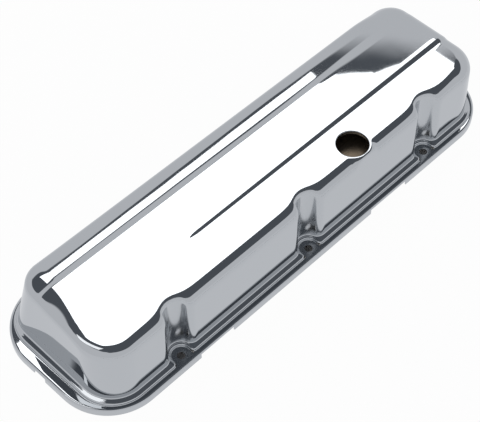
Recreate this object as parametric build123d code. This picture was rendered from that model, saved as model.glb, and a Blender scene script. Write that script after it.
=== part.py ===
from build123d import *
import math
import os

# Pressed-steel rocker cover for one bank of a V8, with the splash baffle spot-welded inside it.
# Frame: +X runs along the cover, -Y is the side with three bolts, +Y the side with four, +Z is up.
# The origin is the middle of the rectangle that the lip stands on.  All sizes are in millimetres.

# Sheet
SHEET = 1.2                 # thickness of the pressing
BAFFLE_SHEET = 0.9          # thickness of the baffle strip

# Flange and its turned-down lip
FLANGE_LENGTH = 544.0
FLANGE_WIDTH = 166.3
FLANGE_CORNER = 55.9        # plan radius of the flange's corners
FLANGE_HEIGHT = 8.5         # top of the flange above the foot of the lip
FLANGE_EDGE = 2.2           # radius from the flange down into the lip

# Bolts
BOLT_HOLE = 8.0             # diameter
BOLT_INSET = 11.05          # from each long side of the flange to its row of bolts
END_THREE = 102.5           # from the flange's ends to the outer two of the three bolts
END_FOUR = 53.0             # and to the outer two of the four
BOLT_LINE = FLANGE_WIDTH / 2 - BOLT_INSET
PITCH_THREE = (FLANGE_LENGTH - 2 * END_THREE) / 2
PITCH_FOUR = (FLANGE_LENGTH - 2 * END_FOUR) / 3
SEAT_RADIUS = 10.0          # flat round each hole, clear of the raised shelf
SEAT_BLEND = 4.0            # plan radius where the shelf turns in round a seat

# Raised shelf between the flange and the wall
SHELF_HEIGHT = 12.2
SHELF_REACH = 4.6           # how far the shelf stands out from the foot of the wall
SHELF_EDGE = 1.6            # bevel along the shelf's outer edge

# Walls, between a foot outline and a roof outline
END_LEDGE = 16.0            # from the flange's ends in to the foot of the walls
SIDE_LEDGE = 10.15          # and from its long sides
FOOT_LENGTH = FLANGE_LENGTH - 2 * END_LEDGE
FOOT_WIDTH = FLANGE_WIDTH - 2 * SIDE_LEDGE
ROOF_HEIGHT = 82.0
LEANS_NEAR = (-2.3, 13.5)   # how far the near wall leans in, at the flange's three- and four-bolt sides
LEAN_FAR = 1.2
LEAN_THREE = 1.4            # how far the wall on the three-bolt side leans in from foot to roof
LEAN_FOUR = 18.6
CORNER_THREE = 34.0         # radii of the upright corners
CORNER_FOUR = 24.0
ROOF_EDGE = 11.0            # radius from the roof into the walls

# Pad for the breather, below a long ramped crease
CREASE_INSET = 51.4         # from the wall's foot on the three-bolt side to the top of the ramp
CREASE_PAD_Y = CREASE_INSET - FOOT_WIDTH / 2
RAMP_SLOPE = 17.0           # degrees
PAD_DROPS = (0.35, 1.5)     # how far the pad lies under the roof, at the flange's near and far ends

# Narrow pressed line along the roof
LINE_INSET_NEAR = 45.7      # from the wall's foot on the four-bolt side, at the near end
LINE_INSET_FAR = 49.0       # and at the far end
LINE_NEAR_Y = FOOT_WIDTH / 2 - LINE_INSET_NEAR
LINE_FAR_Y = FOOT_WIDTH / 2 - LINE_INSET_FAR
LINE_WIDTH = 3.2
LINE_DEPTH = 0.45

# Scoops that clear the bolts
SCOOP_RADIUS = 13.0
SCOOP_EDGE = 4.0
SCOOP_EDGE_FOUR = 2.5       # softer scoops in the sloping wall

# Breather hole and its turned-down collar
BREATHER_X = 78.5
BREATHER_INSET = 30.55      # from the flange's side on the three-bolt side
BREATHER_Y = BREATHER_INSET - FLANGE_WIDTH / 2
BREATHER_RADIUS = 16.6
BREATHER_RIM = 2.2          # flat left round the hole
BOSS_EDGE = 3.0             # radius from that flat into the wall
COLLAR_DEPTH = 4.0          # from the pad's top face

# Gaps in the lip for the gasket's tabs
NOTCH_HEIGHT = 6.0
NOTCH_DEPTH = 3.0           # how far a gap reaches in from the lip's face
NOTCHES_THREE = [(-154.0, -113.5), (79.5, 129.0)]   # X spans on the three-bolt side
NOTCH_NEAR_END = (-1.8, 12.0)                       # Y span at the near end

# Splash baffle: a strip with two feet on the pad's underside
BAFFLE_WIDTH = 34.0
BAFFLE_SHIFT = 8.1          # its middle lies this far in from the breather hole's
BAFFLE_LENGTH = 62.0        # level part under the breather
BAFFLE_DEPTH = 15.0         # from the sheet's underside to the baffle's top face
BAFFLE_LEG_RUN = 9.0        # length over which each leg slopes
BAFFLE_FOOT = 13.0
BAFFLE_BEND = 2.5
WELD_RADIUS = 2.2
WELD_DEPTH = 0.3
WELD_SPACING = 18.0
WELD_GAP = 0.05             # left between the pad and the feet, round the welds

CUT_PAST = 60.0             # how far cutters run past the part
TOUCH = 0.01                # how near an edge lies to the surface it is looked for on


def corner_loop(points, height):
    """A closed straight-sided loop through plan points at one height."""
    return Polyline([(x, y, height) for x, y in points], close=True)


def bolt_points():
    three = [(index * PITCH_THREE, -BOLT_LINE) for index in (-1, 0, 1)]
    four = [(index * PITCH_FOUR, BOLT_LINE) for index in (-1.5, -0.5, 0.5, 1.5)]
    return three + four


def rise(edge):
    """The height between an edge's two ends."""
    return abs((edge @ 0).Z - (edge @ 1).Z)


def uprights(body, side):
    """The steep edges of a body on one side of the long centre line, +1 or -1."""
    steep = body.edges().filter_by(lambda edge: rise(edge) > ROOF_HEIGHT / 2)
    return steep.filter_by(lambda edge: edge.center().Y * side > 0)


def roof_rim(body):
    """The edges round a roof, without the creases that run along it."""
    def on_rim(edge):
        middle = edge.center()
        high = middle.Z > ROOF_HEIGHT / 2 and rise(edge) < ROOF_HEIGHT / 3
        return high and (abs(middle.X) > FOOT_LENGTH / 3 or abs(middle.Y) > FOOT_WIDTH / 4)
    return body.edges().filter_by(on_rim)


def above_pad(inset):
    """What lies above the pad and above the ramp that leads down to it."""
    slope = math.radians(RAMP_SLOPE)
    top = ROOF_HEIGHT - inset
    over = ROOF_HEIGHT + CUT_PAST
    side = FLANGE_WIDTH / 2
    end = FLANGE_LENGTH / 2
    near, far = PAD_DROPS
    pad = [(-end, top - near), (end, top - far), (end, over), (-end, over)]
    pad = make_face(Polyline([(x, 0, z) for x, z in pad], close=True))
    start = CREASE_PAD_Y + inset * math.tan(slope / 2)
    foot = top - (start + side) * math.tan(slope)
    ramp = [(start, top), (-side, foot), (-side, over), (start, over)]
    ramp = make_face(Polyline([(0, y, z) for y, z in ramp], close=True))
    return extrude(pad, side, dir=(0, -1, 0)) & extrude(ramp, end, dir=(1, 0, 0), both=True)


def above_roof(inset):
    """What lies above the level part of the roof."""
    return Pos(0, 0, ROOF_HEIGHT - inset) * extrude(Rectangle(FLANGE_LENGTH, FLANGE_WIDTH), CUT_PAST)


def beyond_near_wall(inset):
    """What lies past the near wall, which twists from a square foot line to a slanting roof line."""
    end = -FLANGE_LENGTH / 2 - CUT_PAST
    side = FLANGE_WIDTH / 2
    foot = inset - FOOT_LENGTH / 2
    lean_three, lean_four = LEANS_NEAR
    low = [(end, -side), (foot, -side), (foot, side), (end, side)]
    high = [(end, -side), (foot + lean_three, -side), (foot + lean_four, side), (end, side)]
    return loft([make_face(corner_loop(low, 0)), make_face(corner_loop(high, ROOF_HEIGHT))], ruled=True)


def walls(inset):
    """Four leaning walls under the roof, rounded all round."""
    foot_x = FOOT_LENGTH / 2 - inset
    foot_y = FOOT_WIDTH / 2 - inset
    past = FLANGE_LENGTH / 2 + CUT_PAST
    along = [(-past, 0), (foot_x, 0), (foot_x - LEAN_FAR, ROOF_HEIGHT), (-past, ROOF_HEIGHT)]
    along = make_face(Polyline([(x, 0, z) for x, z in along], close=True))
    across = [(-foot_y, 0), (foot_y, 0), (foot_y - LEAN_FOUR, ROOF_HEIGHT), (LEAN_THREE - foot_y, ROOF_HEIGHT)]
    across = make_face(Polyline([(0, y, z) for y, z in across], close=True))
    body = extrude(along, past, dir=(0, 1, 0), both=True)
    body &= extrude(across, past, dir=(1, 0, 0), both=True)
    body -= beyond_near_wall(inset)
    body = fillet(uprights(body, -1), CORNER_THREE - inset)
    body = fillet(uprights(body, 1), CORNER_FOUR - inset)
    body -= above_roof(inset)
    body -= above_pad(inset)
    return fillet(roof_rim(body), ROOF_EDGE - inset)


def line_cutter(inset):
    """A three-sided bar whose lower edge presses the narrow line into the roof."""
    turn = math.degrees(math.atan2(LINE_FAR_Y - LINE_NEAR_Y, FOOT_LENGTH))
    top = ROOF_HEIGHT - inset
    line = [(0, top - LINE_DEPTH), (LINE_WIDTH, top + LINE_DEPTH), (-LINE_WIDTH, top + LINE_DEPTH)]
    profile = make_face(Polyline([(0, y, z) for y, z in line], close=True))
    bar = extrude(profile, FLANGE_LENGTH / 2, dir=(1, 0, 0), both=True)
    return Pos(0, (LINE_NEAR_Y + LINE_FAR_Y) / 2, 0) * Rot(0, 0, turn) * bar


def scoop_edges(body, x, y, radius):
    """The edges that a scoop's upright cylinder left on a body, but for its foot."""
    def on_scoop(edge):
        middle = edge @ 0.5
        return abs(math.hypot(middle.X - x, middle.Y - y) - radius) < TOUCH and middle.Z > TOUCH
    return body.edges().filter_by(on_scoop)


def dome(inset):
    """The raised body of the cover, solid, set in by a distance all round."""
    body = walls(inset)
    disc = Pos(BREATHER_X, BREATHER_Y, ROOF_HEIGHT / 2) * Circle(BREATHER_RADIUS + BREATHER_RIM - inset)
    boss = extrude(disc, ROOF_HEIGHT)
    boss -= above_pad(inset)
    boss = fillet(boss.faces().sort_by(Axis.Z)[-1].edges(), BOSS_EDGE - inset)
    body += boss
    for x, y in bolt_points():
        radius = SCOOP_RADIUS + inset
        body -= Pos(x, y, 0) * extrude(Circle(radius), ROOF_HEIGHT + CUT_PAST)
        edge = SCOOP_EDGE if y < 0 else SCOOP_EDGE_FOUR
        body = fillet(scoop_edges(body, x, y, radius), edge - inset)
    return body - line_cutter(inset)


def flange(inset):
    """The flange and lip as a solid slab, set in by a distance.  The sheet's inner bend is sharp."""
    outline = RectangleRounded(FLANGE_LENGTH - 2 * inset, FLANGE_WIDTH - 2 * inset, FLANGE_CORNER - inset)
    slab = extrude(outline, FLANGE_HEIGHT - inset)
    if inset:
        return slab
    return fillet(slab.faces().sort_by(Axis.Z)[-1].edges(), FLANGE_EDGE)


def shelf(inset):
    """The raised shelf round the foot of the walls, turned in round each bolt's seat, sharp inside."""
    reach = SHELF_REACH - inset
    length = FOOT_LENGTH + 2 * reach
    width = FOOT_WIDTH + 2 * reach
    outline = Sketch() + RectangleRounded(length, width, CORNER_THREE + reach)
    for x, y in bolt_points():
        radius = SEAT_RADIUS + inset
        outline -= Pos(x, y) * Circle(radius)
        outline = fillet(seat_points(outline, x, y, radius), SEAT_BLEND - inset)
    body = extrude(outline, SHELF_HEIGHT - inset)
    if inset:
        return body
    return chamfer(body.faces().sort_by(Axis.Z)[-1].edges(), SHELF_EDGE)


def seat_points(outline, x, y, radius):
    """The two points where a seat's circle meets the shelf's outline."""
    def at_seat(point):
        return abs(math.hypot(point.X - x, point.Y - y) - radius) < TOUCH
    return outline.vertices().filter_by(at_seat)


def cover_form(inset):
    """The whole cover as one solid lump, set in by a distance."""
    return flange(inset) + shelf(inset) + dome(inset)


def notch_cutters():
    """The blocks that leave the gaps in the lip."""
    half_height = NOTCH_HEIGHT / 2
    for start, stop in NOTCHES_THREE:
        block = Box(stop - start, 2 * NOTCH_DEPTH, NOTCH_HEIGHT)
        yield Pos((start + stop) / 2, -FLANGE_WIDTH / 2, half_height) * block
    start, stop = NOTCH_NEAR_END
    block = Box(2 * NOTCH_DEPTH, stop - start, NOTCH_HEIGHT)
    yield Pos(-FLANGE_LENGTH / 2, (start + stop) / 2, half_height) * block


def pad_height(x):
    """Height of the pad's top face at a place along the cover."""
    near, far = PAD_DROPS
    return ROOF_HEIGHT - near - (x / FLANGE_LENGTH + 1 / 2) * (far - near)


def cover_shell():
    """One pressing: domed body, stepped flange, notched lip, bolt holes and collared breather hole."""
    shell = cover_form(0) - cover_form(SHEET)
    collar = extrude(Circle(BREATHER_RADIUS + SHEET), COLLAR_DEPTH - SHEET / 2)
    shell += Pos(BREATHER_X, BREATHER_Y, pad_height(BREATHER_X) - COLLAR_DEPTH) * collar
    shell -= Pos(BREATHER_X, BREATHER_Y, ROOF_HEIGHT / 2) * extrude(Circle(BREATHER_RADIUS), ROOF_HEIGHT)
    for x, y in bolt_points():
        shell -= Pos(x, y, 0) * extrude(Circle(BOLT_HOLE / 2), SHELF_HEIGHT)
    for cutter in notch_cutters():
        shell -= cutter
    return shell


def splash_baffle():
    """A bent strip under the breather: a level plate, two sloping legs and two welded feet."""
    half = BAFFLE_LENGTH / 2
    foot = half + BAFFLE_LEG_RUN
    upper = -SHEET - WELD_GAP - BAFFLE_SHEET / 2
    lower = upper - BAFFLE_DEPTH
    middle = FilletPolyline(
        (-foot - BAFFLE_FOOT, 0, upper), (-foot, 0, upper), (-half, 0, lower),
        (half, 0, lower), (foot, 0, upper), (foot + BAFFLE_FOOT, 0, upper),
        radius=BAFFLE_BEND,
    )
    profile = make_face(middle.offset_2d(BAFFLE_SHEET / 2, side=Side.BOTH))
    strip = extrude(profile, BAFFLE_WIDTH / 2, dir=(0, 1, 0), both=True)
    for side in (-1, 1):
        for row in (-1, 1):
            weld = Pos(side * (foot + BAFFLE_FOOT / 2), row * WELD_SPACING / 2, upper - BAFFLE_SHEET)
            strip -= weld * extrude(Circle(WELD_RADIUS), BAFFLE_SHEET / 2 + WELD_DEPTH)
    fall = math.degrees(math.atan2(pad_height(0) - pad_height(BREATHER_X), BREATHER_X))
    return Pos(BREATHER_X, BREATHER_Y + BAFFLE_SHIFT, pad_height(BREATHER_X)) * Rot(0, fall, 0) * strip


os.makedirs("parts", exist_ok=True)
export_step(cover_shell(), "parts/cover_shell.step")
export_step(splash_baffle(), "parts/splash_baffle.step")
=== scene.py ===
import math

import bmesh
import bpy
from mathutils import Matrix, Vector


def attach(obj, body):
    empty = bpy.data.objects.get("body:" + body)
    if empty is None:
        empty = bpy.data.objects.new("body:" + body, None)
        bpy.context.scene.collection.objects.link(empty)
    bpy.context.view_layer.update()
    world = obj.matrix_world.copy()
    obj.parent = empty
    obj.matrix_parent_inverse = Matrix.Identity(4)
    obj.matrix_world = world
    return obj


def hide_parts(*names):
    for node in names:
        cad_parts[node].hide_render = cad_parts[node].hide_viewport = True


# A chrome-plated pressed-steel rocker cover, on a white bench under softboxes.
# Lengths are in millimetres and meshes are scaled to metres once they are made.
# +X runs along the cover, -Y is the side with three bolts, +Y the side with four, +Z is up.

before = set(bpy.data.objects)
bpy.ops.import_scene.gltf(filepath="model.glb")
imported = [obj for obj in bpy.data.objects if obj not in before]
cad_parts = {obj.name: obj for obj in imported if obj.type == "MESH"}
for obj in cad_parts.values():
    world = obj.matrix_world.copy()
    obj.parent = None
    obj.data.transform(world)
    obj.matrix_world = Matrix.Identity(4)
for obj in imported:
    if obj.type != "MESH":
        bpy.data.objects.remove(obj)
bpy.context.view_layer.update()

MM = 0.001
SHEET = 1.2                 # thickness of the pressing

# Flange and lip
FLANGE_LENGTH = 544.0
FLANGE_WIDTH = 166.3
FLANGE_CORNER = 55.9        # radius of the corners, seen from above
FLANGE_HEIGHT = 8.5
FLANGE_EDGE = 2.2           # radius from the flange into the lip
NOTCH_HEIGHT = 6.0          # gaps in the lip, for the gasket's tabs
NOTCHES_THREE = [(-154.0, -113.5), (79.5, 129.0)]
NOTCH_NEAR_END = (-1.8, 12.0)
LIP_NEAR = 1.0              # a face this near the flange's edge belongs to the lip

# Bolts
BOLT_RADIUS = 4.0
BOLT_LINE = 72.1
THREE_X = [-169.5, 0.0, 169.5]
FOUR_X = [219.0, 73.0, -73.0, -219.0]
SEAT_RADIUS = 10.0
SEAT_BLEND = 4.0

# Raised shelf round the foot of the walls
SHELF_HEIGHT = 12.2
SHELF_REACH = 4.6
SHELF_EDGE = 1.6
SHELF_ROOT = 1.0
SHELF_FALL = 0.8            # how far the shelf slopes down towards the flange
WALL_ROOT = 1.3             # radius from the shelf up into the wall

# Walls, between a foot outline and a roof outline
ROOF_HEIGHT = 82.0
FOOT_LENGTH = 512.0
FOOT_WIDTH = 146.0
FOOT_CORNERS = [(-256.0, -73.0), (256.0, -73.0), (256.0, 73.0), (-256.0, 73.0)]
ROOF_CORNERS = [(-257.2, -71.6), (254.8, -71.6), (254.8, 52.3), (-245.0, 56.5)]
CORNER_RADII = [34.0, 34.0, 24.0, 24.0]

# Scoops that clear the bolts
SCOOP_RADIUS = 13.0
SCOOP_BLEND = 8.0           # radius from a scoop into the wall, on the three-bolt side
SCOOP_BLEND_FOUR = 2.5
POCKET_ROLL = 4.0           # width left for the roof's roll behind a scoop
POCKET_SPREAD = 15.0

# Roll from the roof into the walls: its width on each side, seen from above
ROLL_THREE = 11.0
ROLL_FAR = 15.5
ROLL_FOUR = 6.2
ROLL_NEAR = 5.5
ROLL_NEAR_PAD = 10.5
ROLL_FALL = 13.0            # greatest height of the roll
ROLL_FALL_LEAST = 0.5
ROLL_LEAST = 2.2            # width beside the breather hole
ROLL_BLEND = 4.0
ROLL_TURN_FAR = (195, 240)  # X over which the side's roll turns into the end's
ROLL_TURN_NEAR = (195, 238)
ROLL_TURN_PAD = (-50, -15)  # Y, along the near end
ROLL_TURN_SIDE = (-30, 30)  # Y, from one side's roll to the other's
BUFFED_LENGTH = 215.0       # beyond this the rolls of the ends take over

# Creases
PAD_Y = -21.6               # top of the ramp that leads down to the pad
RAMP_SLOPE = math.radians(24.0)
RAMP_START = (-112.0, -98.0)  # X before which the ramp is spread out until it hardly shows
RAMP_SPREAD = (-38.0, -19.0)
PAD_DROPS = (0.35, 1.5)     # at the flange's near and far ends
CREASE_SOFT = 0.5           # half the width over which a crease is rounded
LINE_NEAR_Y = 27.95
LINE_FAR_Y = 24.55
LINE_HALF = 2.7             # half the width of the small step down, which shows as a line
LINE_DROP = 0.45
CROWN_Y = 40.0              # from here the roof bends down towards the four-bolt side
CROWN_BEND = math.radians(0.55)  # for each millimetre
DOME_X = (-238.3, -223.0)   # from here it bends down towards the near end, at each Y of DOME_Y
DOME_Y = (-46, 27)
DOME_BEND = math.radians(0.85)

# Breather hole
BREATHER_X = 78.5
BREATHER_Y = -52.4
BREATHER_RADIUS = 16.0
BREATHER_EDGE = 0.6
BREATHER_RIM = 1.0          # flat left round the hole
COLLAR_DEPTH = 4.0

# Mesh
SCOOP_REACH = 27.0          # half the length of wall that has a scoop's finer steps
CREASE_ROW = 1.2
LINE_ROWS = [-2.7, -1.8, -0.9, 0.0, 0.9, 1.8]  # rows across the pressed line, from its middle
END_FIRST = 14              # steps from a corner's middle to the first anchor
SIDE_FIRST = 22
FOUR_FIRST = 17
WALL_LEVELS = [82.0, 78.0, 74.0, 70.0, 66.0, 63.0, 60.0, 57.0, 54.0, 50.0, 46.0, 38.0, 30.0, 20.0, 12.2]
ROLL_STEPS = 12
WALL_STEPS = 14
ROOT_STEPS = 3
SHELF_STEPS = 2
EDGE_STEPS = 4
FLANGE_STEPS = 6
BLEND_STEPS = 30
BITE_STEPS = 60
BITE_NEAR = 0.5             # reach within which a bite's places count for an anchor
HALVINGS = 36
HOLE_MARGIN = 3.0           # width of the finer faces round a hole
HOLE_EVENING = 8
FLAT = 0.03                 # how far a flat place may lie off its level
SHARP_ANGLE = math.radians(40)

# Bench, in metres
BENCH_SIZE = 6.0
BENCH_TONE = "#E4E5E8"
# One dark line across the bench, which only glossy rays see, so it shows in the chrome and not behind the
# cover.
BENCH_SEAM_TONE = "#30343A"
BENCH_SEAM_Y = -0.31
BENCH_SEAM_HALF = 0.004
BENCH_COVERED = (("X", 0.234), ("Y", 0.0765))  # half the footprint, where no light reaches it
BENCH_GLOW = 0.97           # the rest takes the cover's shadow

# Studio, in metres.  The ceiling is dark above pale walls, whose tops are the sine of their elevation,
# from the +X-Y side round to the -X+Y side.
CEILING_TONE = "#5A5E64"
WALL_TONE = "#DBDCDF"
WALL_WAY = (-0.7071, 0.7071, 0.0)
WALL_TOPS = [(0.0, 0.60), (1.0, 0.80), (0.15, 0.60), (0.43, 0.7145), (0.5, 0.72), (0.56, 0.79), (0.62, 0.79),
             (0.7, 0.82), (0.79, 0.82)]
WALL_TOP_SOFT = 0.006
SOFTBOX_HEIGHT = 1.32
# Each softbox: its name, the middle and size of its plan, how far it is turned, and its radiance
SOFTBOXES = [
    ("softbox", (0.475, 0.595), (1.05, 0.41), 0.0, 2.2),
    ("softbox_end", (1.123, 0.531), (0.246, 0.282), 0.0, 2.2),
    ("softbox_corner", (1.017, 0.698), (0.12, 0.10), -38.0, 2.2),
    ("softbox_corner_end", (1.107, 0.664), (0.095, 0.05), -22.0, 2.2),
    ("small_softbox", (-0.725, 0.32), (0.45, 0.64), 0.0, 1.4),
]

# Camera, in metres, with its lens in millimetres
CAMERA_PLACE = (-0.6418, -0.6124, 1.1490)
CAMERA_AIM = (-0.0092, 0.01094, 0.0)
CAMERA_LENS = 110.71


def linear(code):
    """The linear colour of an sRGB hex code."""
    parts = [int(code[place:place + 2], 16) / 255 for place in (1, 3, 5)]
    return [c / 12.92 if c <= 0.04045 else ((c + 0.055) / 1.055) ** 2.4 for c in parts] + [1.0]


def mix(a, b, share):
    return a + (b - a) * share


def smooth(low, high, value):
    share = min(1.0, max(0.0, (value - low) / (high - low)))
    return share * share * (3 - 2 * share)


def soft_min(a, b, reach):
    """The lesser of two values, rounded where they come within a reach of each other."""
    share = max(reach - abs(a - b), 0.0) / reach
    return min(a, b) - share * share * reach / 4


# Plan outlines: closed, anticlockwise from the corner of the near end and the three-bolt side

class Outline:
    """Straight sides joined by arcs.  A place on it is a distance along it and a depth into it."""

    def __init__(self, corners, radii):
        self.parts = []
        self.length = 0.0
        self.arc_middles = []
        points = [Vector(corner) for corner in corners]
        trims = []
        for index, point in enumerate(points):
            back = (points[index - 1] - point).normalized()
            ahead = (points[(index + 1) % 4] - point).normalized()
            turn = math.pi - back.angle(ahead)
            trims.append((back, ahead, turn, radii[index] * math.tan(turn / 2)))
        for index, point in enumerate(points):
            back, ahead, turn, trim = trims[index]
            start = point + back * trim
            inward = (back + ahead).normalized()
            centre = point + inward * (radii[index] / math.cos(turn / 2))
            self.arc_middles.append(self.length + radii[index] * turn / 2)
            self.add(radii[index] * turn, (start, centre, radii[index]))
            after = points[(index + 1) % 4]
            side_start = point + ahead * trim
            side_end = after - ahead * trims[(index + 1) % 4][3]
            self.add((side_end - side_start).length, (side_start, side_end, None))

    def add(self, length, part):
        self.parts.append((self.length, length, part))
        self.length += length

    def at(self, distance, depth=0.0):
        """The plan point at a distance along the outline and a depth into it."""
        distance %= self.length
        for start, length, part in self.parts:
            if distance <= start + length:
                break
        if part[2] is None:
            along = (part[1] - part[0]).normalized()
            point = part[0] + along * (distance - start)
            inward = Vector((-along.y, along.x))
        else:
            spoke = part[0] - part[1]
            turn = (distance - start) / part[2]
            spoke = Vector((spoke.x * math.cos(turn) - spoke.y * math.sin(turn),
                            spoke.x * math.sin(turn) + spoke.y * math.cos(turn)))
            point = part[1] + spoke
            inward = -spoke.normalized()
        return point + inward * depth

    def find(self, side, value):
        """The distance along the outline of the place on one side with a given X or Y."""
        low = self.arc_middles[side]
        high = self.arc_middles[(side + 1) % 4]
        high += self.length if high < low else 0.0
        axis = side % 2
        rising = side in (0, 1)
        for _ in range(HALVINGS):
            middle = (low + high) / 2
            if (self.at(middle)[axis] < value) == rising:
                low = middle
            else:
                high = middle
        return (low + high) / 2


THREE, FAR, FOUR, NEAR = range(4)


def rectangle(length, width, inset):
    half_x = length / 2 - inset
    half_y = width / 2 - inset
    return [(-half_x, -half_y), (half_x, -half_y), (half_x, half_y), (-half_x, half_y)]


def wall_outline(height):
    share = height / ROOF_HEIGHT
    corners = [[mix(below, above, share) for below, above in zip(foot, roof)]
               for foot, roof in zip(FOOT_CORNERS, ROOF_CORNERS)]
    return Outline(corners, CORNER_RADII)


def line_y(x):
    """Y of the narrow pressed line at a place along the cover."""
    return mix(LINE_NEAR_Y, LINE_FAR_Y, x / FLANGE_LENGTH + 0.5)


def pad_drop(x):
    return mix(PAD_DROPS[0], PAD_DROPS[1], x / FLANGE_LENGTH + 0.5)


def pad_foot(x):
    """Y of the ramp's foot."""
    return PAD_Y - pad_drop(x) / math.tan(RAMP_SLOPE)


# Anchors: places that keep their number on every ring, each with the number of steps up to the next.
# A corner is the middle of its arc, and any other anchor is an X or a Y on one side.

def side_anchors():
    """X anchors along the three-bolt side, then those back along the four-bolt side."""
    near, middle, far = THREE_X
    three = [(near - SCOOP_REACH, 18), (near, 18), (near + SCOOP_REACH, 30)]
    three += [(middle - SCOOP_REACH, 18), (middle, 18), (middle + SCOOP_REACH, 6)]
    three += [(50.0, 14), (BREATHER_X, 14), (107.0, 9)]
    three += [(far - SCOOP_REACH, 18), (far, 18), (far + SCOOP_REACH, 22)]
    four = [(219.0, 17), (193.0, 28), (99.0, 17), (73.0, 17), (47.0, 33), (-47.0, 17), (-73.0, 17)]
    four += [(-99.0, 28), (-193.0, 17), (-219.0, 17)]
    return three, four


def end_anchors(x):
    """Y anchors up one end, from the three-bolt side: the pad's crease, then the pressed line."""
    foot = pad_foot(x)
    crease = [(foot - CREASE_ROW, 1), (foot, 1), ((foot + PAD_Y) / 2, 1), (PAD_Y, 1)]
    crease += [(PAD_Y + CREASE_ROW, 12)]
    line = [(line_y(x) + offset, 1) for offset in LINE_ROWS] + [(line_y(x) + LINE_HALF, 10)]
    return crease + line


def reversed_anchors(anchors, first_steps):
    """The same anchors met from the other end, with the steps before the first of them."""
    places = [place for place, _ in anchors]
    steps = [count for _, count in anchors]
    return steps[-1], list(zip(reversed(places), list(reversed(steps[:-1])) + [first_steps]))


three_anchors, four_anchors = side_anchors()
far_anchors = end_anchors(250.0)
near_first, near_anchors = reversed_anchors(end_anchors(-250.0), END_FIRST)
LAPS = [
    (THREE, SIDE_FIRST, three_anchors),
    (FAR, END_FIRST, far_anchors),
    (FOUR, FOUR_FIRST, four_anchors),
    (NEAR, near_first, near_anchors),
]
COLUMNS = SIDE_FIRST + sum(count for _, count in three_anchors)
ROWS = END_FIRST + sum(count for _, count in far_anchors)


def anchor_distances(outline):
    """The anchors' distances along an outline, as (distance, steps) pairs, once round."""
    found = []
    for side, first, anchors in LAPS:
        found.append((outline.arc_middles[side], first))
        for value, steps in anchors:
            found.append((outline.find(side, value), steps))
    return found


def bite(outline, side, x, radius, blend):
    """A round bite out of an outline: its middle, its half width and its depth as a list of places."""
    middle = outline.find(side, x)
    point = outline.at(middle)
    gap = (Vector((x, BOLT_LINE * (1 if side == FOUR else -1))) - point).length
    centre_depth = -gap if abs(point.y) < BOLT_LINE else gap
    if centre_depth + radius <= 0.01:
        return None
    half = math.sqrt((radius + blend) ** 2 - (blend - centre_depth) ** 2)
    turn = math.atan2(blend - centre_depth, half)
    places = [(half, 0.0)]
    for step in range(1, BLEND_STEPS + 1):
        angle = -math.pi / 2 - (math.pi / 2 - turn) * step / BLEND_STEPS
        places.append((half + blend * math.cos(angle), blend + blend * math.sin(angle)))
    for step in range(1, BITE_STEPS + 1):
        angle = turn + (math.pi / 2 - turn) * step / BITE_STEPS
        places.append((radius * math.cos(angle), centre_depth + radius * math.sin(angle)))
    left = [(middle - along, depth) for along, depth in places]
    right = [(middle + along, depth) for along, depth in reversed(places[:-1])]
    return middle - half, middle + half, left + right


def ring_places(outline, radius=None, blend=None, blend_four=None):
    """Every numbered place of a ring, as (distance, depth) pairs, evenly spaced between the anchors."""
    bites = []
    if radius:
        for side, row, corner in ((THREE, THREE_X, blend), (FOUR, FOUR_X, blend_four)):
            bites += [bite(outline, side, x, radius, corner) for x in row]
    bites = sorted(found for found in bites if found)
    anchors = anchor_distances(outline)
    places = []
    for index, (start, steps) in enumerate(anchors):
        stop = anchors[(index + 1) % len(anchors)][0]
        stop += outline.length if stop < start else 0.0
        path = [(start, depth_at(bites, start))]
        for _, _, dip in bites:
            path += [place for place in dip if start < place[0] < stop]
        path.append((stop, depth_at(bites, stop)))
        places += spread(path, steps)
    return places


def depth_at(bites, distance):
    for low, high, dip in bites:
        if low <= distance <= high:
            return max(depth for along, depth in dip if abs(along - distance) < BITE_NEAR)
    return 0.0


def spread(path, steps):
    """Evenly spaced places along a path, without its last."""
    runs = [math.dist(a, b) for a, b in zip(path, path[1:])]
    total = sum(runs)
    places = []
    index = 0
    passed = 0.0
    for step in range(steps):
        goal = total * step / steps
        while index < len(runs) - 1 and passed + runs[index] < goal:
            passed += runs[index]
            index += 1
        share = (goal - passed) / runs[index] if runs[index] else 0.0
        places.append(tuple(mix(a, b, share) for a, b in zip(path[index], path[index + 1])))
    return places


def ring_points(outline, radius=None, blend=None, blend_four=None):
    return [outline.at(*place) for place in ring_places(outline, radius, blend, blend_four)]


# Heights of the roof

def rounded_ramp(x, y):
    """How far the roof lies down at a place: nothing, then the ramp, then the pad."""
    drop = pad_drop(x)
    down = (PAD_Y - y) * math.tan(RAMP_SLOPE)
    soft = 2 * CREASE_SOFT * math.tan(RAMP_SLOPE)
    down = -soft_min(-down, 0.0, soft)
    gentle = drop * (1 - smooth(*RAMP_SPREAD, y))
    return mix(gentle, soft_min(down, drop, soft), smooth(*RAMP_START, x))


def roof_height(x, y):
    step = LINE_DROP * smooth(line_y(x) - LINE_HALF, line_y(x) + LINE_HALF, y)
    bend = math.tan(CROWN_BEND) / 2 * max(0.0, y - CROWN_Y) ** 2
    dome_start = mix(*DOME_X, smooth(*DOME_Y, y))
    bend += math.tan(DOME_BEND) / 2 * max(0.0, dome_start - x) ** 2
    return ROOF_HEIGHT - rounded_ramp(x, y) - step - bend


def roof_slope(outline, place, width):
    """How steeply the roof rises towards its roll."""
    rim = outline.at(place[0], width)
    inner = outline.at(place[0], width + 1.0)
    return min(0.0, roof_height(rim.x, rim.y) - roof_height(inner.x, inner.y))


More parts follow.
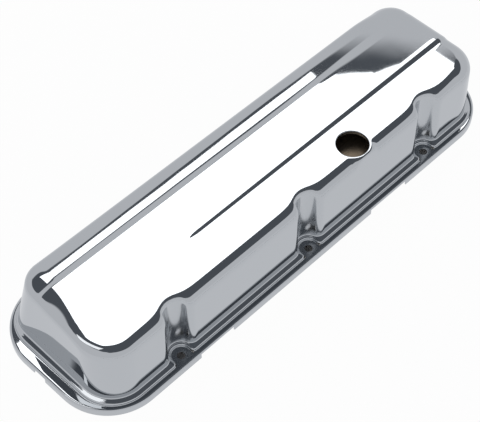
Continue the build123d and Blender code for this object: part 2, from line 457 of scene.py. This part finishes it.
def roll_width(outline, place):
    """Width of the roof's roll, seen from above, at a place on the wall's top outline."""
    point = outline.at(place[0])
    far = smooth(*ROLL_TURN_FAR, point.x)
    near = smooth(*ROLL_TURN_NEAR, -point.x)
    side = mix(ROLL_THREE, ROLL_FOUR, smooth(*ROLL_TURN_SIDE, point.y))
    near_width = mix(ROLL_NEAR_PAD, ROLL_NEAR, smooth(*ROLL_TURN_PAD, point.y))
    width = mix(mix(side, ROLL_FAR, far), near_width, near)
    if point.y > 0 or abs(point.x) > BUFFED_LENGTH:
        return width
    for x in THREE_X:
        pocket = math.exp(-((point.x - x) / POCKET_SPREAD) ** 2)
        width = mix(width, SCOOP_RADIUS + POCKET_ROLL, pocket)
    reach = BREATHER_RADIUS + BREATHER_EDGE + BREATHER_RIM
    along = abs(point.x - BREATHER_X)
    if along < reach:
        rim = abs(point.y) + BREATHER_Y - math.sqrt(reach * reach - along * along)
        width = max(soft_min(width, rim, ROLL_BLEND), ROLL_LEAST)
    return width


def conic(start, corner, end, share):
    """A point on the round arc that leaves its start towards a corner and arrives at its end from there."""
    turn = (corner - start).angle(end - corner)
    a = (1 - share) ** 2
    b = 2 * math.cos(turn / 2) * share * (1 - share)
    c = share * share
    return (start * a + corner * b + end * c) / (a + b + c)


def raised(points, height):
    """Plan points at a height."""
    return [Vector((point.x, point.y, height)) for point in points]


def outset(points, amount):
    """A closed ring of plan points, anticlockwise, moved outwards by an amount."""
    moved = []
    for index, point in enumerate(points):
        along = points[(index + 1) % len(points)] - points[index - 1]
        moved.append(point + Vector((along.y, -along.x)).normalized() * amount)
    return moved


class Walls:
    """The walls as rings at a few heights, with places between them worked out."""

    def __init__(self):
        self.rings = []
        for height in WALL_LEVELS:
            points = ring_points(wall_outline(height), SCOOP_RADIUS, SCOOP_BLEND, SCOOP_BLEND_FOUR)
            self.rings.append(raised(points, height))

    def at(self, index, height):
        for upper, lower in zip(self.rings, self.rings[1:]):
            if height >= lower[index].z:
                break
        share = (upper[index].z - height) / (upper[index].z - lower[index].z)
        return upper[index].lerp(lower[index], share)


def roof_grid(bm, rim):
    """Turns a square grid into the roof, inside a rim of numbered points, with rows along its creases."""
    bmesh.ops.create_grid(bm, x_segments=COLUMNS, y_segments=ROWS, size=1.0)
    number = bm.verts.layers.int.new("number")
    far = [rim[COLUMNS + row] for row in range(ROWS + 1)]
    near = [rim[(2 * COLUMNS + ROWS + ROWS - row) % len(rim)] for row in range(ROWS + 1)]
    three = [rim[column] for column in range(COLUMNS + 1)]
    four = [rim[COLUMNS + ROWS + COLUMNS - column] for column in range(COLUMNS + 1)]
    rows = {0: three, ROWS: four}
    creases = range(END_FIRST, ROWS - far_anchors[-1][1] + 1)
    for row in creases:
        xs = [mix(a.x, b.x, row / ROWS) for a, b in zip(three, four)]
        rows[row] = [near[row].lerp(far[row], (x - xs[0]) / (xs[-1] - xs[0])) for x in xs]
    fixed = sorted(rows)
    for low, high in zip(fixed, fixed[1:]):
        for row in range(low + 1, high):
            share = (row - low) / (high - low)
            near_move = near[row] - near[low].lerp(near[high], share)
            far_move = far[row] - far[low].lerp(far[high], share)
            rows[row] = []
            for column in range(COLUMNS + 1):
                across = column / COLUMNS
                point = rows[low][column].lerp(rows[high][column], share)
                rows[row].append(point + near_move * (1 - across) + far_move * across)
    for vert in bm.verts:
        column = round((vert.co.x + 1) / 2 * COLUMNS)
        row = round((vert.co.y + 1) / 2 * ROWS)
        point = rows[row][column]
        vert.co = (point.x, point.y, roof_height(point.x, point.y))
        if row == 0:
            vert[number] = column
        elif column == COLUMNS:
            vert[number] = COLUMNS + row
        elif row == ROWS:
            vert[number] = COLUMNS + ROWS + COLUMNS - column
        elif column == 0:
            vert[number] = 2 * COLUMNS + ROWS + ROWS - row
    return number, [edge for edge in bm.edges if edge.is_boundary]


def grow(bm, number, edges, points):
    """Extrudes an open rim to the next ring of numbered points and returns the new rim."""
    made = bmesh.ops.extrude_edge_only(bm, edges=edges)["geom"]
    verts = {item for item in made if isinstance(item, bmesh.types.BMVert)}
    for vert in verts:
        vert.co = points[vert[number]]
    return [item for item in made if isinstance(item, bmesh.types.BMEdge) and set(item.verts) <= verts]


def section_rings():
    """The rings from the roof's rim out to the foot of the lip, with the rim first."""
    walls = Walls()
    top_outline = wall_outline(ROOF_HEIGHT)
    places = ring_places(top_outline, SCOOP_RADIUS, SCOOP_BLEND, SCOOP_BLEND_FOUR)
    widths = [roll_width(top_outline, place) for place in places]
    rim = [top_outline.at(place[0], width) for place, width in zip(places, widths)]
    rolls = []
    for index, (point, width, place) in enumerate(zip(rim, widths, places)):
        height = roof_height(point.x, point.y)
        corner = top_outline.at(*place)
        fall = min(max(width - place[1], ROLL_FALL_LEAST), ROLL_FALL)
        start = Vector((point.x, point.y, height))
        corner = Vector((corner.x, corner.y, height + width * roof_slope(top_outline, place, width)))
        rolls.append((start, corner, walls.at(index, height - fall)))
    rings = [[conic(*roll, step / ROLL_STEPS) for roll in rolls] for step in range(1, ROLL_STEPS + 1)]

    root_height = SHELF_HEIGHT + SHELF_FALL / 2 + WALL_ROOT
    for step in range(1, WALL_STEPS + 1):
        heights = [mix(roll[2].z, root_height, step / WALL_STEPS) for roll in rolls]
        rings.append([walls.at(index, height) for index, height in enumerate(heights)])

    foot = [point.xy for point in walls.rings[-1]]
    inner_height = SHELF_HEIGHT + SHELF_FALL / 2
    outer_height = SHELF_HEIGHT - SHELF_FALL / 2
    corners = raised(foot, inner_height)
    shelf_inner = raised(outset(foot, WALL_ROOT), inner_height)
    rings += arc_rings(rings[-1], corners, shelf_inner, ROOT_STEPS)

    plan = rectangle(FOOT_LENGTH, FOOT_WIDTH, -SHELF_REACH)
    shelf = Outline(plan, [CORNER_RADII[0] + SHELF_REACH] * 4)
    edge = ring_points(shelf, SEAT_RADIUS, SEAT_BLEND, SEAT_BLEND)
    shelf_outer = raised(outset(edge, -SHELF_EDGE), outer_height)
    rings += straight_rings(shelf_inner, shelf_outer, SHELF_STEPS)
    shelf_foot = raised(edge, outer_height - SHELF_EDGE)
    rings += arc_rings(shelf_outer, raised(edge, outer_height), shelf_foot, EDGE_STEPS)
    seat = raised(outset(edge, SHELF_ROOT), FLANGE_HEIGHT)
    step_foot = raised(edge, FLANGE_HEIGHT + SHELF_ROOT)
    rings.append(step_foot)
    rings += arc_rings(step_foot, raised(edge, FLANGE_HEIGHT), seat, ROOT_STEPS)

    inner = Outline(rectangle(FLANGE_LENGTH, FLANGE_WIDTH, FLANGE_EDGE), [FLANGE_CORNER - FLANGE_EDGE] * 4)
    outer = Outline(rectangle(FLANGE_LENGTH, FLANGE_WIDTH, 0), [FLANGE_CORNER] * 4)
    flat_edge = raised(ring_points(inner), FLANGE_HEIGHT)
    rings += straight_rings(seat, flat_edge, FLANGE_STEPS)
    lip = ring_points(outer)
    lip_top = FLANGE_HEIGHT - FLANGE_EDGE
    rings += arc_rings(flat_edge, raised(lip, FLANGE_HEIGHT), raised(lip, lip_top), EDGE_STEPS)
    rings += [raised(lip, height) for height in (NOTCH_HEIGHT, NOTCH_HEIGHT / 2, 0.0)]
    return rim, rings


def arc_rings(starts, corners, ends, steps):
    """Rings along a round bend, from the first after its start to its end."""
    shares = [step / steps for step in range(1, steps + 1)]
    return [[conic(*ring, share) for ring in zip(starts, corners, ends)] for share in shares]


def straight_rings(starts, ends, steps):
    shares = [step / steps for step in range(1, steps + 1)]
    return [[start.lerp(end, share) for start, end in zip(starts, ends)] for share in shares]


def open_hole(bm, x, y, radius, level):
    """Cuts a round hole in a flat place and returns the edges round it."""
    def near_place(place, reach):
        return math.hypot(place.x - x, place.y - y) < reach and abs(place.z - level(place.x, place.y)) < FLAT

    near = [face for face in bm.faces if near_place(face.calc_center_median(), radius + HOLE_MARGIN)]
    edges = list({edge for face in near for edge in face.edges})
    bmesh.ops.subdivide_edges(bm, edges=edges, cuts=1, use_grid_fill=True)
    inside = [face for face in bm.faces if near_place(face.calc_center_median(), radius)]
    bmesh.ops.delete(bm, geom=inside, context="FACES")
    rim = [edge for edge in bm.edges if edge.is_boundary and
           math.hypot(edge.verts[0].co.x - x, edge.verts[0].co.y - y) < radius + HOLE_MARGIN / 2]
    verts = list({vert for edge in rim for vert in edge.verts})
    angles = {vert: math.atan2(vert.co.y - y, vert.co.x - x) for vert in verts}
    around = sorted(verts, key=angles.get)
    spots = [angles[vert] for vert in around]
    for _ in range(HOLE_EVENING):
        before = [spots[-1] - 2 * math.pi] + spots[:-1]
        after = spots[1:] + [spots[0] + 2 * math.pi]
        spots = [mix(spot, (low + high) / 2, 0.5) for spot, low, high in zip(spots, before, after)]
    for vert, spot in zip(around, spots):
        vert.co.x = x + radius * math.cos(spot)
        vert.co.y = y + radius * math.sin(spot)
    ring = set(around)
    loose = [vert for vert in bm.verts if vert not in ring and near_place(vert.co, radius + HOLE_MARGIN)]
    for _ in range(HOLE_EVENING):
        for vert in loose:
            others = [edge.other_vert(vert).co for edge in vert.link_edges]
            vert.co.x = sum(other.x for other in others) / len(others)
            vert.co.y = sum(other.y for other in others) / len(others)
    return rim


def new_piece(name, bm, material):
    """Makes an object of a mesh drawn in millimetres."""
    bmesh.ops.scale(bm, vec=(MM, MM, MM), verts=bm.verts)
    mesh = bpy.data.meshes.new(name)
    bm.to_mesh(mesh)
    bm.free()
    mesh.materials.append(material)
    piece = bpy.data.objects.new(name, mesh)
    bpy.context.scene.collection.objects.link(piece)
    mesh.shade_smooth()
    return piece


def make_shell(outside, inside):
    bm = bmesh.new()
    rim, rings = section_rings()
    number, edges = roof_grid(bm, rim)
    for ring in rings:
        edges = grow(bm, number, edges, ring)
    bmesh.ops.recalc_face_normals(bm, faces=bm.faces)
    bm.faces.ensure_lookup_table()
    if bm.faces[0].normal.z < 0:
        bmesh.ops.reverse_faces(bm, faces=bm.faces)
    cut_notches(bm)
    for row, side in ((THREE_X, -1), (FOUR_X, 1)):
        for x in row:
            open_hole(bm, x, side * BOLT_LINE, BOLT_RADIUS, lambda x, y: FLANGE_HEIGHT)
    make_collar(bm)
    piece = new_piece("pressed_shell", bm, outside)
    piece.data.materials.append(inside)
    wall = piece.modifiers.new("sheet", "SOLIDIFY")
    wall.thickness = SHEET * MM
    wall.offset = -1.0
    wall.material_offset = 1
    wall.material_offset_rim = 0
    view_layer = bpy.context.view_layer
    view_layer.update()
    solid = bpy.data.meshes.new_from_object(piece.evaluated_get(bpy.context.evaluated_depsgraph_get()))
    piece.modifiers.clear()
    piece.data = solid
    solid.shade_smooth()
    solid.set_sharp_from_angle(angle=SHARP_ANGLE)
    return piece


def cut_notches(bm):
    """Leaves the gaps in the lip for the gasket's tabs."""
    def in_gap(face):
        middle = face.calc_center_median()
        if middle.z > NOTCH_HEIGHT:
            return False
        if middle.y < -FLANGE_WIDTH / 2 + LIP_NEAR:
            return any(start < middle.x < stop for start, stop in NOTCHES_THREE)
        start, stop = NOTCH_NEAR_END
        return middle.x < -FLANGE_LENGTH / 2 + LIP_NEAR and start < middle.y < stop
    bmesh.ops.delete(bm, geom=[face for face in bm.faces if in_gap(face)], context="FACES")


def make_collar(bm):
    """Opens the breather hole and turns its edge down."""
    edge_radius = BREATHER_RADIUS + BREATHER_EDGE
    edges = open_hole(bm, BREATHER_X, BREATHER_Y, edge_radius, roof_height)
    middle = Vector((BREATHER_X, BREATHER_Y, 0))
    turns = [(step / EDGE_STEPS * math.pi / 2) for step in range(1, EDGE_STEPS + 1)]
    rings = [(BREATHER_EDGE * math.sin(turn), BREATHER_EDGE * (1 - math.cos(turn))) for turn in turns]
    rings += [(BREATHER_EDGE, COLLAR_DEPTH / 2), (BREATHER_EDGE, COLLAR_DEPTH)]
    for inward, down in rings:
        made = bmesh.ops.extrude_edge_only(bm, edges=edges)["geom"]
        verts = {item for item in made if isinstance(item, bmesh.types.BMVert)}
        for vert in verts:
            spoke = Vector((vert.co.x - middle.x, vert.co.y - middle.y, 0)).normalized()
            place = middle + spoke * (edge_radius - inward)
            vert.co = (place.x, place.y, roof_height(place.x, place.y) - down)
        edges = [item for item in made if isinstance(item, bmesh.types.BMEdge) and set(item.verts) <= verts]
    bmesh.ops.recalc_face_normals(bm, faces=bm.faces)


def add_node(tree, kind, settings, links=()):
    """Adds a node, sets its properties and sockets, and links its inputs."""
    node = tree.nodes.new(kind)
    for name, value in settings.items():
        if isinstance(name, str) and hasattr(node, name) and name not in node.inputs:
            setattr(node, name, value)
        else:
            node.inputs[name].default_value = value
    for name, source in links:
        tree.links.new(source, node.inputs[name])
    return node


def new_material(name):
    material = bpy.data.materials.new(name)
    material.use_nodes = True
    material.node_tree.nodes.clear()
    return material, material.node_tree


def unbuffed_scoops(tree, place):
    """Extra roughness round each bolt, 11 mm away and less, gone at 21 mm."""
    parts = add_node(tree, "ShaderNodeSeparateXYZ", {}, [("Vector", place)])
    half_three = THREE_X[2] * MM / 2
    half_four = FOUR_X[1] * MM
    three = add_node(tree, "ShaderNodeMath", {"operation": "WRAP", 1: half_three, 2: -half_three},
                     [(0, parts.outputs["X"])])
    shifted = add_node(tree, "ShaderNodeMath", {"operation": "SUBTRACT", 1: half_four},
                       [(0, parts.outputs["X"])])
    four = add_node(tree, "ShaderNodeMath", {"operation": "WRAP", 1: half_four, 2: -half_four},
                    [(0, shifted.outputs[0])])
    side = add_node(tree, "ShaderNodeMath", {"operation": "GREATER_THAN", 1: 0.0}, [(0, parts.outputs["Y"])])
    along = add_node(tree, "ShaderNodeMix", {"data_type": "FLOAT"},
                     [("Factor", side.outputs[0]), ("A", three.outputs[0]), ("B", four.outputs[0])])
    across = add_node(tree, "ShaderNodeMath", {"operation": "ABSOLUTE"}, [(0, parts.outputs["Y"])])
    outward = add_node(tree, "ShaderNodeMath", {"operation": "SUBTRACT", 1: BOLT_LINE * MM},
                       [(0, across.outputs[0])])
    spot = add_node(tree, "ShaderNodeCombineXYZ", {},
                    [("X", along.outputs["Result"]), ("Y", outward.outputs[0])])
    reach = add_node(tree, "ShaderNodeVectorMath", {"operation": "LENGTH"}, [(0, spot.outputs["Vector"])])
    fade = {"From Min": 11 * MM, "From Max": 21 * MM, "To Min": 0.17, "To Max": 0.0}
    return add_node(tree, "ShaderNodeMapRange", fade, [("Value", reach.outputs["Value"])]).outputs["Result"]


def chrome_on_buffed_steel():
    """Decorative chrome over buffed steel: a bright, slightly cool mirror that is barely uneven.

    The buffing wheel doesn't reach into the bolt scoops, so the plate there is hazy.
    """
    material, tree = new_material("chrome_on_buffed_steel")
    place = add_node(tree, "ShaderNodeTexCoord", {}).outputs["Object"]
    haze = add_node(tree, "ShaderNodeTexNoise", {"Scale": 1 / (30 * MM), "Detail": 3.0},
                    [("Vector", place)])
    polish = add_node(tree, "ShaderNodeMapRange", {"To Min": 0.012, "To Max": 0.035},
                      [("Value", haze.outputs["Fac"])])
    rough = add_node(tree, "ShaderNodeMath", {"operation": "ADD"},
                     [(0, polish.outputs["Result"]), (1, unbuffed_scoops(tree, place))])
    wave = add_node(tree, "ShaderNodeTexNoise", {"Scale": 1 / (45 * MM), "Detail": 1.0},
                    [("Vector", place)])
    bump = add_node(tree, "ShaderNodeBump", {"Strength": 0.12, "Distance": 0.4 * MM},
                    [("Height", wave.outputs["Fac"])])
    shader = add_node(tree, "ShaderNodeBsdfPrincipled", {"Base Color": linear("#C6C9CC"), "Metallic": 1.0},
                      [("Roughness", rough.outputs[0]), ("Normal", bump.outputs["Normal"])])
    add_node(tree, "ShaderNodeOutputMaterial", {}, [("Surface", shader.outputs["BSDF"])])
    return material


def chrome_flash_inside():
    """The inside takes a thin flash of plate over unbuffed steel: grey, dull and a little mottled."""
    material, tree = new_material("chrome_flash_on_raw_steel")
    place = add_node(tree, "ShaderNodeTexCoord", {}).outputs["Object"]
    mottle = add_node(tree, "ShaderNodeTexNoise", {"Scale": 1 / (18 * MM), "Detail": 5.0},
                      [("Vector", place)])
    rough = add_node(tree, "ShaderNodeMapRange", {"To Min": 0.28, "To Max": 0.5},
                     [("Value", mottle.outputs["Fac"])])
    shader = add_node(tree, "ShaderNodeBsdfPrincipled", {"Base Color": linear("#8E8C88"), "Metallic": 1.0},
                      [("Roughness", rough.outputs["Result"])])
    add_node(tree, "ShaderNodeOutputMaterial", {}, [("Surface", shader.outputs["BSDF"])])
    return material


def pickled_steel():
    """Plain rolled strip, pickled and oiled: a warm brown-grey satin, streaked along its length."""
    material, tree = new_material("pickled_rolled_steel")
    place = add_node(tree, "ShaderNodeTexCoord", {}).outputs["Object"]
    stretch = add_node(tree, "ShaderNodeMapping", {"Scale": (0.1, 1.0, 1.0)}, [("Vector", place)])
    grain = add_node(tree, "ShaderNodeTexNoise", {"Scale": 1 / (1.5 * MM), "Detail": 4.0},
                     [("Vector", stretch.outputs["Vector"])])
    colours = {"data_type": "RGBA", "A": linear("#7A6A58"), "B": linear("#A39684")}
    colour = add_node(tree, "ShaderNodeMix", colours, [("Factor", grain.outputs["Fac"])])
    rough = add_node(tree, "ShaderNodeMapRange", {"To Min": 0.35, "To Max": 0.55},
                     [("Value", grain.outputs["Fac"])])
    shader = add_node(tree, "ShaderNodeBsdfPrincipled", {"Metallic": 1.0},
                      [("Base Color", colour.outputs["Result"]), ("Roughness", rough.outputs["Result"])])
    add_node(tree, "ShaderNodeOutputMaterial", {}, [("Surface", shader.outputs["BSDF"])])
    return material


def white_bench():
    """White laminate bench: plain white behind the cover, a pale grey in the chrome with one dark line
    across it, which only glossy rays see.
    """
    material, tree = new_material("white_laminate")
    path = add_node(tree, "ShaderNodeLightPath", {})
    place = add_node(tree, "ShaderNodeTexCoord", {}).outputs["Object"]
    parts = add_node(tree, "ShaderNodeSeparateXYZ", {}, [("Vector", place)])
    # One dark line across the bench, which only glossy rays see.
    seam = add_node(tree, "ShaderNodeMath", {"operation": "COMPARE", 1: BENCH_SEAM_Y, 2: BENCH_SEAM_HALF},
                    [(0, parts.outputs["Y"])])
    tones = {"data_type": "RGBA", "A": linear(BENCH_TONE), "B": linear(BENCH_SEAM_TONE)}
    tone = add_node(tree, "ShaderNodeMix", tones, [("Factor", seam.outputs[0])])
    seen = add_node(tree, "ShaderNodeMix", {"data_type": "RGBA", "B": linear("#FFFFFF")},
                    [("Factor", path.outputs["Is Camera Ray"]), ("A", tone.outputs["Result"])])
    glow = add_node(tree, "ShaderNodeEmission", {"Strength": 1.0}, [("Color", seen.outputs["Result"])])
    surface = add_node(tree, "ShaderNodeBsdfDiffuse", {"Color": linear("#E8E8E8")})

    beside = []
    for axis, reach in BENCH_COVERED:
        away = add_node(tree, "ShaderNodeMath", {"operation": "ABSOLUTE"}, [(0, parts.outputs[axis])])
        beside.append(add_node(tree, "ShaderNodeMath", {"operation": "GREATER_THAN", 1: reach},
                               [(0, away.outputs[0])]))
    uncovered = add_node(tree, "ShaderNodeMath", {"operation": "MAXIMUM"},
                         [(0, beside[0].outputs[0]), (1, beside[1].outputs[0])])
    direct = add_node(tree, "ShaderNodeMath", {"operation": "MAXIMUM"},
                      [(0, path.outputs["Is Camera Ray"]), (1, path.outputs["Is Glossy Ray"])])
    bright = add_node(tree, "ShaderNodeMath", {"operation": "MULTIPLY"},
                      [(0, direct.outputs[0]), (1, uncovered.outputs[0])])
    share = add_node(tree, "ShaderNodeMath", {"operation": "MULTIPLY", 1: BENCH_GLOW},
                     [(0, bright.outputs[0])])
    both = add_node(tree, "ShaderNodeMixShader", {},
                    [("Fac", share.outputs[0]), (1, surface.outputs[0]), (2, glow.outputs[0])])
    add_node(tree, "ShaderNodeOutputMaterial", {}, [("Surface", both.outputs[0])])
    return material


def make_studio():
    """A dark ceiling over pale walls, as the world."""
    world = bpy.data.worlds.new("studio")
    bpy.context.scene.world = world
    world.use_nodes = True
    tree = world.node_tree
    tree.nodes.clear()
    path = add_node(tree, "ShaderNodeLightPath", {})
    way = add_node(tree, "ShaderNodeTexCoord", {}).outputs["Generated"]
    parts = add_node(tree, "ShaderNodeSeparateXYZ", {}, [("Vector", way)])
    across = add_node(tree, "ShaderNodeVectorMath", {"operation": "DOT_PRODUCT", 1: WALL_WAY}, [(0, way)])
    position = add_node(tree, "ShaderNodeMapRange", {"From Min": -1.0, "From Max": 1.0},
                        [("Value", across.outputs["Value"])])
    wall_top = add_node(tree, "ShaderNodeValToRGB", {}, [("Fac", position.outputs["Result"])])
    points = wall_top.color_ramp.elements
    for index, (place, height) in enumerate(WALL_TOPS):
        point = points[index] if index < 2 else points.new(place)
        point.position = place
        point.color = (height, height, height, 1.0)
    over = add_node(tree, "ShaderNodeMath", {"operation": "SUBTRACT"},
                    [(0, parts.outputs["Z"]), (1, wall_top.outputs["Color"])])
    edge = {"interpolation_type": "SMOOTHSTEP", "From Min": -WALL_TOP_SOFT, "From Max": WALL_TOP_SOFT}
    level = add_node(tree, "ShaderNodeMapRange", edge, [("Value", over.outputs[0])])
    shades = {"data_type": "RGBA", "A": linear(WALL_TONE), "B": linear(CEILING_TONE)}
    shade = add_node(tree, "ShaderNodeMix", shades, [("Factor", level.outputs["Result"])])
    room = add_node(tree, "ShaderNodeBackground", {}, [("Color", shade.outputs["Result"])])
    plain = add_node(tree, "ShaderNodeBackground", {"Color": linear("#FFFFFF"), "Strength": 1.0})
    both = add_node(tree, "ShaderNodeMixShader", {},
                    [("Fac", path.outputs["Is Camera Ray"]), (1, room.outputs[0]), (2, plain.outputs[0])])
    add_node(tree, "ShaderNodeOutputWorld", {}, [("Surface", both.outputs[0])])


def make_softboxes():
    for name, (x, y), (length, width), turn, radiance in SOFTBOXES:
        lamp = bpy.data.lights.new(name, "AREA")
        lamp.shape = "RECTANGLE"
        lamp.size = length
        lamp.size_y = width
        lamp.energy = radiance * math.pi * length * width
        box = bpy.data.objects.new(name, lamp)
        box.location = (x, y, SOFTBOX_HEIGHT)
        box.rotation_euler.z = math.radians(turn)
        bpy.context.scene.collection.objects.link(box)


def make_bench(material):
    bm = bmesh.new()
    bmesh.ops.create_grid(bm, x_segments=1, y_segments=1, size=BENCH_SIZE / MM)
    bench = new_piece("bench", bm, material)


def make_camera():
    camera = bpy.data.cameras.new("camera")
    camera.lens = CAMERA_LENS
    camera.sensor_width = 36.0
    camera.clip_start = 0.05
    camera.clip_end = 50.0
    place = bpy.data.objects.new("camera", camera)
    place.location = CAMERA_PLACE
    aim = Vector(CAMERA_AIM) - place.location
    place.rotation_euler = aim.to_track_quat("-Z", "Y").to_euler()
    bpy.context.scene.collection.objects.link(place)
    bpy.context.scene.camera = place


bpy.context.scene.view_settings.view_transform = "Standard"
chrome = chrome_on_buffed_steel()
shell = make_shell(chrome, chrome_flash_inside())
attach(shell, "root")
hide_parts("cover_shell")

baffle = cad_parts["splash_baffle"]
baffle.data.materials.clear()
baffle.data.materials.append(pickled_steel())

make_bench(white_bench())
make_studio()
make_softboxes()
make_camera()
